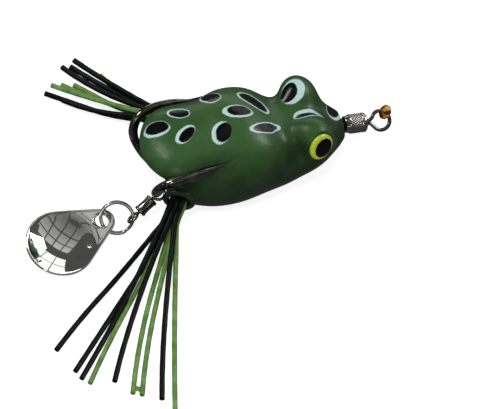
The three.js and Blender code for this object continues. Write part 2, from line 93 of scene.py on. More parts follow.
NOSE_AXIS = {"x": NOSE_X, "z": 7.1, "pitch": -12}
NOSE_BARREL = {"radius": 2.25, "length": 5.4, "start": 0.35}
TIE = {"radius": 2.2, "wire": 0.45, "out": 3.7, "up": (0, 0.79, 0.59), "bead_at": 52}
TAIL_BARREL = {"radius": 1.45, "length": 4.2}
TAIL_EYE = {"radius": 1.35, "wire": 0.35}
HOOK_THREAD = np.array((-20.9, -6.05, 7.3))
HOOK_TANGENT = np.array((-0.35, -0.7, 0.62))
RING = {"radius": 3.65, "radial": 0.75, "axial": 0.46, "pitch": 0.56, "turns": 1.84}
RING_CENTRE = np.array((-31.06, -6.87, 3.6))
RING_RIGHT = np.array((0.95, -0.312, 0))
RING_UP = np.array((0.17, 0.53, 0.83))
BLADE = {"length": 22.3, "width": 16, "depth": 2.45, "thick": 0.5, "hole": 1.6, "lug": 3}
BLADE_HOLE = np.array((-34.4, -6.2, 3.05))
BLADE_YAW, BLADE_PITCH = 197.5, 2
BLADE_UP = np.array((0, -0.26, 0.966))

STRAND, FLOOR_GAP, PITCH = 0.58, 0.06, 1.24  # radius, room under it, spacing in the bundle
PLUG_OUTER = 2.6
BUNDLES = {  # side: what the bundle's middle passes through, outside the stub
    -1: [(-18.9, -11.4, 6.6), (-20.3, -13.1, 5.8)],
    1: [
        (-15.7, 11.2, 6.8), (-15.4, 13, 6.4), (-14.8, 15, 5.8), (-14.8, 17.2, 5.2),
        (-15.9, 19.2, 4.6),
    ],
}
ROWS = {  # side: each strand's row in the bundle, 1 on top
    -1: (0, -1, 1, 0, 1, -1, 0, 1, -1),
    1: (0, -1, 1, 0, -1, 1, 0, 1, -1),
}
SKIRTS = {  # side: each strand's tip x, tip y, colour, run before it lies flat, and sideways bow
    -1: [
        (-54.7, -36.2, "black", 22, 1.1), (-52.5, -43.2, "black", 14, 0),
        (-51.8, -45.6, "black", 34, 0), (-50.4, -47.4, "green", 22, 0.8),
        (-45, -48.6, "black", 34, 1.3), (-42.2, -53.1, "green", 14, 1.3),
        (-40.4, -54.2, "green", 22, 1.2), (-36.5, -56.6, "black", 30, 0.8),
        (-34.7, -60.5, "green", 14, 0.3),
    ],
    1: [
        (-32, 31, "black", 32, 1), (-35, 34.6, "black", 12, 0), (-33, 35.9, "green", 34, 0),
        (-30.7, 35.8, "green", 20, 0), (-28, 34.9, "green", 12, 0), (-29, 40.6, "black", 28, 0.5),
        (-27.1, 40.2, "black", 24, -0.1), (-25.8, 41.7, "black", 26, -0.3),
        (-21.5, 35.7, "green", 12, 0),
    ],
}
SIDE_NAME = {1: "left", -1: "right"}
MIRROR = (1, -1, 1)  # the frog's other side

# ---- sizes that only the visual pieces have
STRAND_DRAWN = {"black": 0.63, "green": 0.59}  # a strand's radius
STRAND_UNEVEN = 0.03
STRAND_POINTS, BUNDLE_POINTS = 36, {1: 9, -1: 7}
PUPIL_RADIUS = EYE["pupil"] + 0.34
IRIS_CROWN, PUPIL_STEP, PUPIL_CROWN = 0.42, 0.22, 0.5  # heights of the eye's two domes
BODY_CELL = 0.3


def unit(v):
    v = np.asarray(v, float)
    return v / np.linalg.norm(v)


# ---- camera
CAMERA_AZIMUTH, CAMERA_ELEVATION = math.radians(-18.2), math.radians(51.9)
LOOK_AT = np.array((-2.1, -13.6, 5))
CAMERA_DISTANCE = 2500
WIDTH_SEEN = 111.9  # at LOOK_AT
SENSOR_WIDTH = 36

toward_camera = np.array((
    math.sin(CAMERA_AZIMUTH) * math.cos(CAMERA_ELEVATION),
    -math.cos(CAMERA_AZIMUTH) * math.cos(CAMERA_ELEVATION),
    math.sin(CAMERA_ELEVATION),
))
camera = bpy.data.objects.new("camera", bpy.data.cameras.new("camera"))
bpy.context.scene.collection.objects.link(camera)
camera.location = Vector((LOOK_AT + toward_camera * CAMERA_DISTANCE) * MM)
camera.rotation_mode = "QUATERNION"
camera.rotation_quaternion = Vector(-toward_camera).to_track_quat("-Z", "Y")
camera.data.sensor_width = SENSOR_WIDTH
camera.data.lens = SENSOR_WIDTH * CAMERA_DISTANCE / WIDTH_SEEN
camera.data.clip_start, camera.data.clip_end = 0.01, 20
bpy.context.scene.camera = camera


# ---- pieces and lines
def mesh_piece(name, verts, faces, material, smooth=True):
    mesh = bpy.data.meshes.new(name)
    mesh.from_pydata((np.asarray(verts, float) * MM).tolist(), [], faces)
    mesh.update()
    if smooth:
        mesh.shade_smooth()
    mesh.materials.append(material)
    piece = bpy.data.objects.new(name, mesh)
    bpy.context.scene.collection.objects.link(piece)
    return piece


def ready(piece, body, slot, *nodes):
    """Ties a piece to its CAD body and hides the CAD nodes that it stands for. The slot is not
    used.
    """
    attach(piece, body)
    if nodes:
        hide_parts(*nodes)


def tube_faces(rings, around):
    """The quads of a tube of closed rings, with its two ends filled."""
    faces = []
    for i in range(rings - 1):
        here, there = i * around, (i + 1) * around
        for j in range(around):
            k = (j + 1) % around
            faces.append((here + j, here + k, there + k, there + j))
    faces.append(tuple(range(around))[::-1])
    faces.append(tuple(range((rings - 1) * around, rings * around)))
    return faces


def catmull(points, dense=24):
    """A fine polyline along the centripetal Catmull-Rom curve through the points."""
    p = np.asarray(points, float)
    p = np.vstack([2 * p[0] - p[1], p, 2 * p[-1] - p[-2]])
    line = []
    for a, b, c, d in zip(p, p[1:], p[2:], p[3:]):
        d0, d1, d2 = (max(1e-6, np.linalg.norm(y - x) ** 0.5) for x, y in ((a, b), (b, c), (c, d)))
        t1 = d1 * ((b - a) / d0 - (c - a) / (d0 + d1) + (c - b) / d1)
        t2 = d1 * ((c - b) / d1 - (d - b) / (d1 + d2) + (d - c) / d2)
        for i in range(dense):
            t = i / dense
            line.append(
                (2 * t**3 - 3 * t**2 + 1) * b + (t**3 - 2 * t**2 + t) * t1
                + (3 * t**2 - 2 * t**3) * c + (t**3 - t**2) * t2
            )
    line.append(p[-2])
    return np.array(line)


def resample(line, count):
    """The line again, as evenly spaced points."""
    run = np.r_[0, np.cumsum(np.linalg.norm(np.diff(line, axis=0), axis=1))]
    at = np.linspace(0, run[-1], count)
    return np.stack([np.interp(at, run, line[:, k]) for k in range(3)], axis=1)


# ---- node materials
class Paint:
    """A material's node tree, built by short calls: sockets or numbers in, sockets out.

    Textures run over the metres of the piece, so noise of scale 1000 has grains of about 1 mm.
    """

    def __init__(self, name):
        self.material = bpy.data.materials.new(name)
        self.material.use_nodes = True
        self.tree = self.material.node_tree
        self.shader = self.tree.nodes["Principled BSDF"]
        self.place = self.node("ShaderNodeTexCoord").outputs["Object"]

    def node(self, kind, inputs=(), **props):
        made = self.tree.nodes.new(kind)
        for key, value in props.items():
            setattr(made, key, value)
        for key, value in dict(inputs).items():
            if isinstance(value, bpy.types.NodeSocket):
                self.tree.links.new(value, made.inputs[key])
            else:
                made.inputs[key].default_value = value
        return made

    def noise(self, scale, detail, roughness=0.55, stretch=None):
        at = self.place
        if stretch:
            at = self.node("ShaderNodeMapping", {0: at, 3: stretch}).outputs[0]
        inputs = {"Vector": at, "Scale": scale, "Detail": detail, "Roughness": roughness}
        return self.node("ShaderNodeTexNoise", inputs).outputs["Fac"]

    def math(self, operation, a, b):
        return self.node("ShaderNodeMath", {0: a, 1: b}, operation=operation).outputs[0]

    def vector(self, operation, inputs, output=0):
        return self.node("ShaderNodeVectorMath", inputs, operation=operation).outputs[output]

    def spread(self, value, low, high, to_low=0.0, to_high=1.0):
        """The value's range from low to high, mapped to another and held at its ends."""
        made = self.node("ShaderNodeMapRange", {0: value, 1: low, 2: high, 3: to_low, 4: to_high})
        return made.outputs[0]

    def mix(self, factor, a, b):
        a, b = (v if isinstance(v, bpy.types.NodeSocket) else (*v, 1) for v in (a, b))
        return self.node("ShaderNodeMix", {0: factor, 6: a, 7: b}, data_type="RGBA").outputs[2]

    def inside(self, centre, axes, size, at=None):
        """Distance from an ellipsoid's centre, 1 on its surface."""
        turn = Matrix(np.array(axes).T.tolist()).to_euler()
        local = self.node(
            "ShaderNodeMapping",
            {0: at or self.place, 1: [c * MM for c in centre], 2: turn, 3: [s * MM for s in size]},
            vector_type="TEXTURE",
        )
        return self.vector("LENGTH", {0: local.outputs[0]}, "Value")

    def bump(self, height, distance, strength):
        inputs = {"Height": height, "Distance": distance * MM, "Strength": strength}
        made = self.node("ShaderNodeBump", inputs)
        self.tree.links.new(made.outputs[0], self.shader.inputs["Normal"])

    def set(self, **values):
        names = {
            "base": "Base Color", "rough": "Roughness", "metal": "Metallic", "ior": "IOR",
            "coat": "Coat Weight", "coat_rough": "Coat Roughness", "through": "Transmission Weight",
            "specular": "Specular IOR Level", "glow": "Emission Strength",
        }
        for key, value in values.items():
            socket = self.shader.inputs[names[key]]
            if isinstance(value, bpy.types.NodeSocket):
                self.tree.links.new(value, socket)
            else:
                socket.default_value = (*value, 1) if key == "base" else value
        return self.material


def rubber(name, dark, light, rough):
    p = Paint(name)
    blotch = p.spread(p.noise(420, 3), 0.35, 0.65)
    streak = p.noise(2600, 2)
    p.bump(p.math("ADD", streak, p.math("MULTIPLY", blotch, 0.4)), 0.05, 0.35)
    dull = p.spread(streak, 0.3, 0.7, rough - 0.07, rough + 0.07)
    return p.set(base=p.mix(blotch, dark, light), rough=dull, specular=0.16)


RUBBER = {
    "black": rubber("strand_black", (0.0006, 0.001, 0.001), (0.0025, 0.004, 0.004), 0.42),
    "green": rubber("strand_green", (0.085, 0.185, 0.035), (0.17, 0.32, 0.085), 0.45),
}


# ---- skirts: nine rubber strands from each leg stub
def stub_axis(side):
    """A stub's mouth and the way it opens."""
    root, mouth = STUBS[side]
    return np.array(mouth, float), unit(np.subtract(mouth, root))


def strand_route(side, index):
    """A strand's points: out of its stub in the bundle, then down to the table and along it."""
    tip_x, tip_y, _, lands, bow = SKIRTS[side][index]
    mouth, along = stub_axis(side)
    inside_stub = [mouth + along * out for out in (0.3 - PLUG_OUTER, -0.8, 0.6)]
    line = catmull(inside_stub + [np.array(p) for p in BUNDLES[side]])
    samples = BUNDLE_POINTS[side]
    fine = resample(line, 400)
    last = len(fine) - 1
    column, row = index // 3 - 1, ROWS[side][index]
    points = []
    for i, c in enumerate(resample(line, samples)):
        k = round(i / (samples - 1) * last)
        tangent = unit(fine[min(k + 1, last)] - fine[max(k - 1, 0)])
        across = unit(np.cross((0, 0, 1), tangent)) * -side
        up = unit(np.cross(tangent, across))
        up = up if up[2] > 0 else -up
        points.append(c + across * column * PITCH + up * row * PITCH)
    leave, end = points[-1], np.array((tip_x, tip_y, STRAND + FLOOR_GAP))
    reach = math.hypot(*(end - leave)[:2])
    aside = np.array((end[1] - leave[1], leave[0] - end[0], 0)) * (-side * bow / reach)
    for out in (0.1, 0.2, 0.3, 0.4, 0.5, 0.6, 0.7, 0.85, 1):
        point = leave + (end - leave) * out + aside * 4 * out * (1 - out)
        point[2] = end[2] + (leave[2] - end[2]) * max(0, 1 - out * reach / lands) ** 1.8
        points.append(point)
    return resample(catmull(points), STRAND_POINTS)


def strand_piece(side, index):
    place = f"{SIDE_NAME[side]}_{index + 1}"
    line = strand_route(side, index)
    colour = SKIRTS[side][index][2]
    thick = STRAND_DRAWN[colour]
    curve = bpy.data.curves.new(f"strand_{place}", "CURVE")
    curve.dimensions = "3D"
    curve.bevel_depth = thick * MM
    curve.bevel_resolution = 3
    curve.use_fill_caps = True
    spline = curve.splines.new("POLY")
    spline.points.add(len(line) - 1)
    for i, (target, p) in enumerate(zip(spline.points, line)):
        target.co = (*(p * MM), 1)
        wave = math.sin(1.7 * i + 2.1 * index) * (0 < i < len(line) - 1)
        target.radius = 1 + STRAND_UNEVEN * wave
    curve.materials.append(RUBBER[colour])
    piece = bpy.data.objects.new(curve.name, curve)
    bpy.context.scene.collection.objects.link(piece)
    ready(piece, "root", f"strand_{colour}", f"skirt_{place}")


for side in (1, -1):
    for index in range(len(SKIRTS[side])):
        strand_piece(side, index)


def web_between(side, first, second):
    """The film of rubber left between two strands where they were cut apart."""
    a, b = strand_route(side, first), strand_route(side, second)
    verts, steps, count = [], 9, 12
    for i in range(steps):
        share = i / (steps - 1)
        middle = a[-2] + (b[-2] - a[-2]) * share
        across, along = unit(b[-2] - a[-2]), unit(a[-1] - a[-4])
        along = unit(along - across * (along @ across))
        high = np.cross(across, along)
        reach = 1.1 - 0.45 * math.sin(math.pi * share)  # narrower at mid-span
        for k in range(count):
            turn = 2 * math.pi * k / count
            verts.append(middle + along * (reach * math.cos(turn)) + high * (0.24 * math.sin(turn)))
    faces = tube_faces(steps, count)
    return mesh_piece(f"strand_web_{SIDE_NAME[side]}", verts, faces, RUBBER["green"])


ready(web_between(-1, 5, 6), "root", "strand_green")


# ---- the body's field: negative inside, in millimetres
def length(v):
    return np.sqrt((v * v).sum(axis=-1))


def ellipsoid(p, centre, radii):
    """Roughly the distance to an ellipsoid's surface."""
    q = p - np.array(centre, float)
    k0 = length(q / radii)
    k1 = length(q / np.square(radii))
    return k0 * (k0 - 1) / np.maximum(k1, 1e-9)


def capsule(p, a, b, radius):
    a, b = np.array(a, float), np.array(b, float)
    t = np.clip((p - a) @ (b - a) / ((b - a) @ (b - a)), 0, 1)
    return length(p - a - t[..., None] * (b - a)) - radius


def smooth_max(a, b, soft):
    """The larger of two fields, with the edge between them rounded over about `soft` mm."""
    blend = np.maximum(soft - np.abs(a - b), 0) / soft
    return np.maximum(a, b) + blend * blend * soft / 4


def smooth_min(a, b, soft):
    return -smooth_max(-a, -b, soft)


# Soft swells and hollows on each flank: centre, reach and height.
RELIEF = [
    ((5, 9, 15.4), 4.4, 0.95),  # shoulder
    ((-17, 7.5, 16.4), 3.8, 0.8),  # haunch
    ((-6, 12.2, 13.2), 3.8, -0.55),
    ((11, 9.2, 12), 2.8, -1.15),  # neck
    ((12.5, 4, 16.6), 2.4, 0.35),
    ((11.5, 8.8, 6.5), 3.2, -0.35),
    ((13.5, 10, 8), 2.6, 0.3),  # cheek
]


def flesh(p):
    """The frog's skin as if it were solid: blobs and leg stubs melted together, with its relief."""
    total = sum(np.exp(-BLEND * ellipsoid(p, centre, radii)) for centre, radii in BLOBS)
    for root, mouth in STUBS.values():
        total = total + np.exp(-2.2 * BLEND * capsule(p, root, mouth, STUB_RADIUS))
    body = -np.log(total) / BLEND
    scoop = UNDERCUT[1] - length(p - np.array(UNDERCUT[0], float))
    skin = np.logaddexp(2 * BLEND * body, 2 * BLEND * scoop) / (2 * BLEND)
    q = np.stack([p[..., 0], np.abs(p[..., 1]), p[..., 2]], axis=-1)
    for centre, reach, height in RELIEF:
        skin = skin - height * np.exp(-((q - np.array(centre, float)) ** 2).sum(axis=-1) / reach**2)
    return skin


def rod(p, a, b, radius):
    """A round bar with flat ends."""
    a, b = np.array(a, float), np.array(b, float)
    along = unit(b - a)
    run = (p - a) @ along
    across = length(p - a - run[..., None] * along)
    return np.maximum(across - radius, np.maximum(-run, run - np.linalg.norm(b - a)))


def eye_frame(side):
    """An eye's centre and the way it looks."""
    return np.array(EYE_AT[side]), unit(EYE_OUT[side])


nose_at = np.array((NOSE_AXIS["x"], 0, NOSE_AXIS["z"]))
nose_pitch = math.radians(NOSE_AXIS["pitch"])
nose_along = np.array((math.cos(nose_pitch), 0, math.sin(nose_pitch)))

hook_line = np.vstack([HOOK_POINT, catmull([*HOOK_RIGHT, HOOK_EYE_FRONT], 6)])
hook_line = np.vstack([hook_line, (hook_line * MIRROR)[::-1][1:]])
hook_run = np.r_[0, np.cumsum(np.linalg.norm(np.diff(hook_line, axis=0), axis=1))]
hook_swell = np.minimum(1, 0.15 + np.minimum(hook_run, hook_run[-1] - hook_run) / 7)


def hook_field(p):
    """The hook's round wire, thinner towards its points, with room round it."""
    nearest = np.full(p.shape[:-1], 1e3)
    for a, b, swell in zip(hook_line, hook_line[1:], hook_swell):
        nearest = np.minimum(nearest, capsule(p, a, b, (HOOK_WIRE + 0.3) * swell))
    return nearest


def shell_field(p):
    """The hollow body: its wall, with its stubs, the eyes' seats and the cuts for the metal."""
    outer = flesh(p)
    inner = outer + WALL
    outer = smooth_max(outer, -p[..., 2], 0.9)  # the flat belly
    outer = smooth_max(outer, p[..., 0] - NOSE_X, 0.6)  # the blunt nose
    inner = np.maximum(inner, np.maximum(WALL - p[..., 2], p[..., 0] - NOSE_X + WALL))
    for side in STUBS:  # a rolled lip round each stub
        mouth, along = stub_axis(side)
        axis_run = (p - mouth) @ along
        off_axis = length(p - mouth - axis_run[..., None] * along)
        lip = np.sqrt((off_axis - STUB_RADIUS + 0.05) ** 2 + (axis_run - 0.25) ** 2) - 0.62
        outer = smooth_min(outer, lip, 0.8)
    shell = smooth_max(outer, -inner, 0.3)
    # The nose is cupped and bored for the swivel's shank.
    dish = 13 - length(p - np.array((NOSE_X + 12.3, 0, NOSE_AXIS["z"] - 0.6)))
    shell = smooth_max(shell, dish, 0.3)
    shank_hole = rod(p, (18, 0, NOSE_AXIS["z"]), nose_at + nose_along * 2, 1.1)
    shell = smooth_max(shell, -shank_hole, 0.3)
    for side in STUBS:
        mouth, along = stub_axis(side)
        beyond = mouth + along * 5  # each stub is cut square and bored for its plug
        shell = smooth_max(shell, -rod(p, mouth + along * 0.9, beyond, 3.9), 0.5)
        shell = smooth_max(shell, -rod(p, mouth - along * 5.4, beyond, STUB_BORE), 0.5)
        at, out = eye_frame(side)
        seat = rod(p, at - out * 0.9, at + out * 5, EYE["radius"] + 0.12)
        shell = smooth_max(shell, -seat, 0.35)
    # The hook's bend leaves by a slot at the rear, and its arms lie in grooves.
    rear_slot = np.abs(p - np.array((-19.5, 0, 4.1))) - np.array((4.5, 2.1, 1.3))
    shell = smooth_max(shell, -rear_slot.max(axis=-1), 0.5)
    near = np.abs(shell) < 2.5
    if near.any():
        shell[near] = smooth_max(shell[near], -hook_field(p[near]), 0.5)
    return shell


def surface_net(field, low, high, step, polish=4):
    """A closed quad mesh of the field's zero surface.

    One vertex goes in each grid cell that the surface crosses, at the mean of the crossings on its
    edges. One quad goes round each crossed edge. Then the vertices slide onto the surface.
    """
    axes = [np.arange(a, b + step, step) for a, b in zip(low, high)]
    grid = np.stack(np.meshgrid(*axes, indexing="ij"), axis=-1)
    values = np.concatenate([field(slab[None]) for slab in grid])
    inside = values < 0
    cells = tuple(n - 1 for n in values.shape)
    total, count = np.zeros((*cells, 3)), np.zeros(cells)
    crossings = []
    for axis in range(3):
        others = [k for k in range(3) if k != axis]
        ends = [[slice(None)] * 3 for _ in range(2)]
        ends[0][axis], ends[1][axis] = slice(None, -1), slice(1, None)
        first, second = tuple(ends[0]), tuple(ends[1])
        cross = inside[first] != inside[second]
        fall = np.where(cross, values[first] - values[second], 1)
        part = np.where(cross, values[first] / fall, 0)
        crossings.append((axis, others, cross, inside[first]))
        for b in (0, 1):
            for c in (0, 1):
                cut = [slice(None)] * 3
                cut[others[0]] = slice(b, b + cells[others[0]])
                cut[others[1]] = slice(c, c + cells[others[1]])
                hit = cross[tuple(cut)]
                total[..., axis] += part[tuple(cut)]
                total[..., others[0]] += hit * b
                total[..., others[1]] += hit * c
                count += hit
    used = count > 0
    number = np.full(cells, -1)
    number[used] = np.arange(used.sum())
    corner = np.argwhere(used)
    verts = (corner + total[used] / count[used][:, None]) * step + np.array(low, float)
    faces = []
    for axis, others, cross, was_inside in crossings:
        at = np.argwhere(cross)
        for k in others:
            at = at[(at[:, k] > 0) & (at[:, k] < cells[k])]
        ring = []
        for b, c in ((1, 1), (0, 1), (0, 0), (1, 0)):
            cell = at.copy()
            cell[:, others[0]] -= b
            cell[:, others[1]] -= c
            ring.append(number[tuple(cell.T)])
        quads = np.stack(ring, axis=1)
        flip = was_inside[tuple(at.T)] ^ (axis != 1)
        quads[flip] = quads[flip][:, ::-1]
        faces.append(quads)
    nudge = step * 0.2
    for _ in range(polish):
        here = field(verts)
        slope = [(field(verts + nudge * direction) - here) / nudge for direction in np.eye(3)]
        slope = np.stack(slope, axis=-1)
        move = -here[:, None] * slope / np.maximum((slope**2).sum(axis=-1), 0.2)[:, None]
        reach = np.maximum(length(move), 1e-9)
        verts = verts + move * np.minimum(1, 0.5 * step / reach)[:, None]
    return verts, np.concatenate(faces).tolist()


# ---- body
BODY_LOW, BODY_HIGH = (-24.2, -15, -0.4), (25.4, 15, 23.2)
# Painted shade in the hollows of both flanks: centre, radii.
SHADED_HOLLOWS = (((11.2, 10, 11.5), (2.6, 4.5, 6)), ((-9.5, 9.6, 17.2), (7, 3.2, 3.2)))
# Painted spots: centre, long and short half-axes, the long axis's angle from +X round the surface's
# normal, and the black middle's shift and size within the pale patch.
SPOTS = [
    ((-18.5, 2.9, 18.9), 3.3, 2.25, -20, (0.25, 0.3), (0.88, 0.8)),
    ((-12.5, 5.3, 19.5), 2.65, 1.8, -30, (0.1, -0.1), (0.88, 0.84)),
    ((-13, -1.4, 20.1), 2.95, 1.75, 36, (0.35, -0.2), (0.84, 0.78)),
    ((-4.4, 7.1, 19.8), 2.9, 2.0, -60, (0.1, 0.1), (0.92, 0.87)),
    ((-5.3, -3.9, 20.8), 2.9, 2.25, 62, (0.5, -0.15), (0.9, 0.82)),
    ((-0.1, 0.3, 21.5), 3.7, 1.9, -13, (0.4, 0.1), (0.8, 0.8)),
    ((4.7, 3.5, 19), 4.4, 2.1, -38, (0, 0), (0.88, 0.84)),
    ((5, -4.1, 18.6), 4.6, 1.5, 6, (0, -0.05), (0.8, 0.82)),
    ((14.4, 4.9, 17.6), 3.4, 2.7, 45, (-0.95, -0.1), (0.78, 0.7)),
    ((16.3, -1.4, 16), 3.8, 1.8, -1, (-0.65, -0.25), (0.74, 0.5)),
    ((23.4, 1.5, 11.1), 3.6, 2.2, 62, (-0.3, 0.2), (0.86, 0.8)),
]


def slope_at(point):
    """The skin's outward direction."""
    p = np.array(point, float)
    steps = 0.05 * np.eye(3)
    return unit(flesh(p + steps) - flesh(p - steps))


def body_paint():
    p = Paint("frog_pvc")
    cloud = p.noise(160, 4, 0.6)
    fine = p.noise(1500, 3)
    height = p.node("ShaderNodeSeparateXYZ", {0: p.place}).outputs["Z"]
    # The green is lighter on the back and darker low on the body, by height alone: painted shade of
    # light from above.
    back = p.mix(p.spread(cloud, 0.35, 0.65), (0.026, 0.082, 0.018), (0.036, 0.102, 0.025))
    side = p.mix(p.spread(cloud, 0.3, 0.7), (0.011, 0.027, 0.010), (0.018, 0.041, 0.016))
    level = p.math("ADD", height, p.math("MULTIPLY", cloud, 0.006))
    green = p.mix(p.spread(level, 0.0135, 0.022), side, back)
    # Painted shade: the green darkens inside each hollow, on both flanks.
    for sign in (1, -1):
        for centre, radii in SHADED_HOLLOWS:
            hollow = p.inside(np.array(centre) * (1, sign, 1), np.eye(3), radii)
            green = p.mix(p.spread(hollow, 0.3, 1.25, 0.6, 0), green, (0.008, 0.018, 0.007))
    wobble = {"Vector": p.place, "Scale": 380.0, "Detail": 1.0}
    wobble = p.node("ShaderNodeTexNoise", wobble).outputs["Color"]
    shift = p.vector("SUBTRACT", {0: wobble, 1: (0.5, 0.5, 0.5)})
    shift = p.vector("SCALE", {0: shift, "Scale": 0.0007})
    drawn = p.vector("ADD", {0: p.place, 1: shift})
    pale_mask, black_mask = None, None
    for centre, long, short, angle, moved, share in SPOTS:
        normal = slope_at(centre)
        east = unit(np.array((1, 0, 0)) - normal * normal[0])
        north = np.cross(normal, east)
        turn = math.radians(angle)
        major = east * math.cos(turn) + north * math.sin(turn)
        minor = np.cross(normal, major)
        middle = np.array(centre) + east * moved[0] + north * moved[1]
        axes = (major, minor, normal)
        pale = p.inside(centre, axes, (long, short, 2.6), drawn)
        black = p.inside(middle, axes, (long * share[0], short * share[1], 2.6), drawn)
        pale_in, black_in = p.spread(pale, 0.95, 1.03, 1, 0), p.spread(black, 0.92, 1.03, 1, 0)
        pale_mask = pale_in if pale_mask is None else p.math("MAXIMUM", pale_mask, pale_in)
        black_mask = black_in if black_mask is None else p.math("MAXIMUM", black_mask, black_in)
    colour = p.mix(pale_mask, green, (0.46, 0.64, 0.61))
    colour = p.mix(black_mask, colour, (0.0012, 0.0018, 0.0015))
    rough = p.spread(fine, 0.3, 0.7, 0.30, 0.38)
    rough = p.math("SUBTRACT", rough, p.math("MULTIPLY", black_mask, 0.15))
    p.bump(p.math("ADD", p.math("MULTIPLY", cloud, 3.0), p.math("MULTIPLY", fine, 0.25)), 0.12, 0.5)
    return p.set(base=colour, rough=rough, specular=0.28)


body_net = surface_net(shell_field, BODY_LOW, BODY_HIGH, BODY_CELL)
body = mesh_piece("frog_body", *body_net, body_paint())
ready(body, "root", "shell_soft_pvc", "body_shell")


# ---- turned, swept and joined solids
def frame_axes(along, up):
    """Along, across and high axes, as the part's own pieces are placed."""
    x = unit(along)
    y = unit(np.cross(up, x))
    return np.array((x, y, np.cross(x, y)))


def revolve(profile, around, at, along, up=(0, 0, 1), relief=None):
    """A closed solid from [along, radius] pairs; relief(run, turn) adds to the radius."""
    profile = np.array(profile, float)
    turn = np.arange(around) * 2 * math.pi / around
    run = np.repeat(profile[:, 0][:, None], around, axis=1)
    radius = np.repeat(profile[:, 1][:, None], around, axis=1)
    if relief:
        radius = radius + relief(run, turn[None, :]) * (radius > 1e-6)
    local = np.stack([run, radius * np.cos(turn), radius * np.sin(turn)], axis=-1).reshape(-1, 3)
    return local @ frame_axes(along, up) + np.array(at, float), tube_faces(len(profile), around)


def sweep(line, section, ups=None):
    """A tube along a fine line. section(i) gives the cross-section's points as (side, up) pairs."""
    line = np.asarray(line, float)
    tangent = np.gradient(line, axis=0)
    tangent /= length(tangent)[:, None]
    up = np.array((0, 0, 1.0))
    rings = []
    for i, middle in enumerate(line):
        up = ups[i] if ups is not None else up
        up = unit(up - tangent[i] * (up @ tangent[i]))
        side = np.cross(tangent[i], up)
        shape = np.array(section(i), float)
        rings.append(middle + shape[:, :1] * side + shape[:, 1:] * up)
    return np.vstack(rings), tube_faces(len(line), len(rings[0]))


def oval(half_side, half_up, sides=16, squareness=2.0):
    """A cross-section: an ellipse at squareness 2, and boxier above it."""
    turn = np.arange(sides) * 2 * math.pi / sides
    c, s = np.cos(turn), np.sin(turn)
    power = 2 / squareness
    c, s = np.sign(c) * np.abs(c) ** power, np.sign(s) * np.abs(s) ** power
    return np.stack([half_side * c, half_up * s], axis=1)


def joined(*solids):
    """Several solids as one mesh."""
    verts, faces, base = [], [], 0
    for v, f in solids:
        verts.append(v)
        faces += [tuple(i + base for i in face) for face in f]
        base += len(v)
    return np.vstack(verts), faces


def metal(name, dark, light, rough, grain=2200, dent=0.02):
    """Clouded metal with fine drawn scratches; dent is the bump's height."""
    p = Paint(name)
    cloud = p.spread(p.noise(500, 4), 0.35, 0.65)
    scratch = p.noise(grain, 4, 0.6, stretch=(1, 0.25, 1))
    p.bump(p.math("ADD", scratch, cloud), dent, 0.3)
    dull = p.spread(scratch, 0.3, 0.7, rough * 0.75, rough * 1.3)
    return p.set(base=p.mix(cloud, dark, light), rough=dull, metal=1.0)


BLACK_NICKEL = metal("black_nickel", (0.11, 0.10, 0.092), (0.27, 0.25, 0.23), 0.1, dent=0.006)
GUNMETAL = metal("gunmetal", (0.3, 0.29, 0.275), (0.46, 0.45, 0.43), 0.16, dent=0.005)
STEEL = metal("bright_steel", (0.2, 0.196, 0.19), (0.33, 0.325, 0.315), 0.15)
NICKEL = metal("nickel", (0.46, 0.46, 0.45), (0.62, 0.62, 0.60), 0.17)

# ---- double hook: forged bends that taper to needle points
fine_half = np.vstack([HOOK_POINT, catmull([*HOOK_RIGHT, HOOK_EYE_FRONT], 16)])
fine_half = resample(fine_half, 220)
fine_hook = np.vstack([fine_half, (fine_half * MIRROR)[::-1][1:]])
run = np.r_[0, np.cumsum(length(np.diff(fine_hook, axis=0)))]
from_tip = np.minimum(run, run[-1] - run)


def hook_section(i):
    """Round wire that thins to its tip, forged flatter round the bend, 1 to 27 mm from the tip."""
    s = from_tip[i]
    taper = min(1.0, 0.08 + (s / 9.0) ** 0.8)
    forged = max(0.0, min(1.0, (s - 1) / 5)) * max(0.0, min(1.0, (27 - s) / 6))
    wide = HOOK_WIRE * taper * (1 + 0.7 * forged)
    thin = HOOK_WIRE * taper * (1 + 0.3 * forged)
    return oval(thin, wide, 16, 2 + 0.9 * forged)


hook_ups = np.zeros((len(fine_hook), 3))
for i in range(len(fine_hook)):
    tangent = unit(fine_hook[min(i + 1, len(fine_hook) - 1)] - fine_hook[max(i - 1, 0)])
    hook_ups[i] = np.cross(tangent, (0, 1.0, 0)) if abs(tangent[1]) < 0.9 else (0, 0, 1)
    if hook_ups[i] @ hook_ups[max(i - 1, 0)] < 0:
        hook_ups[i] *= -1
hook = mesh_piece("forged_double_hook", *sweep(fine_hook, hook_section, ups=hook_ups), BLACK_NICKEL)
ready(hook, "root", "hook_black_nickel", "double_hook")

# ---- nose swivel
nose_middle = nose_at + nose_along * (NOSE_BARREL["start"] + NOSE_BARREL["length"] / 2)
half, r = NOSE_BARREL["length"] / 2, NOSE_BARREL["radius"]
profile = [
    (-half, 0.62), (-half, r - 0.62), (-half + 0.12, r - 0.42), (-half + 0.4, r - 0.3),
    (-1.62, r - 0.26), (-1.5, r - 0.1),
]
profile += [(x, r - 0.05) for x in np.linspace(-1.4, 1.15, 34)]
profile += [
    (1.22, r - 0.2), (1.4, r - 0.24), (1.5, r - 0.04), (1.6, r), (2.2, r), (2.45, r - 0.12),
    (half - 0.08, r - 0.4), (half, r - 0.62), (half, 0.62), (half - 0.6, 0.6),
]


def knurl(run, turn):
    """Crossed ridges round the barrel's middle."""
    on = np.clip((1.3 - np.abs(run + 0.12)) / 0.15, 0, 1)
    ridges = sum(np.maximum(np.cos(26 * turn + lean * run), 0) ** 2 for lean in (9, -9))
    return on * (0.10 * ridges - 0.09)


